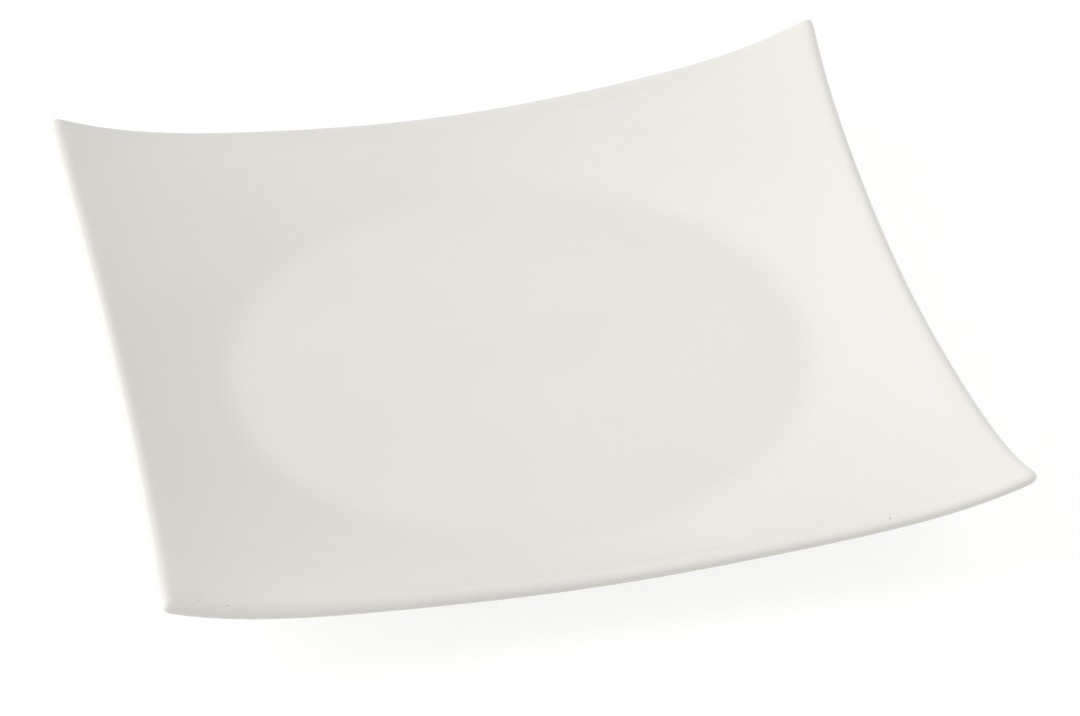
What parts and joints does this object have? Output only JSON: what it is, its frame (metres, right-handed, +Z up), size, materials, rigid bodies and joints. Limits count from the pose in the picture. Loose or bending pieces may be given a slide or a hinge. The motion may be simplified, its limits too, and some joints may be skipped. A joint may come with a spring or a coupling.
{
  "type": "square plate",
  "caption": "Square glazed porcelain plate with a flat round well, a cupped rim, swept-up corners and a round foot ring, for serving food.",
  "frame": {"origin": "middle of the foot ring's resting plane, straight below the middle of the well", "axes": "+Z up out of the well, which is the plate's fourfold axis; X and Y are square to the sides"},
  "size_m": [0.2596, 0.2596, 0.0366],
  "materials": {
    "white_glaze": "gloss",
    "bare_porcelain": "matte"
  },
  "bodies": {
    "root": {"porcelain_body": "bare_porcelain", "glaze_coat": "white_glaze", "glaze_in_foot_ring": "white_glaze"}
  },
  "joints": []
}
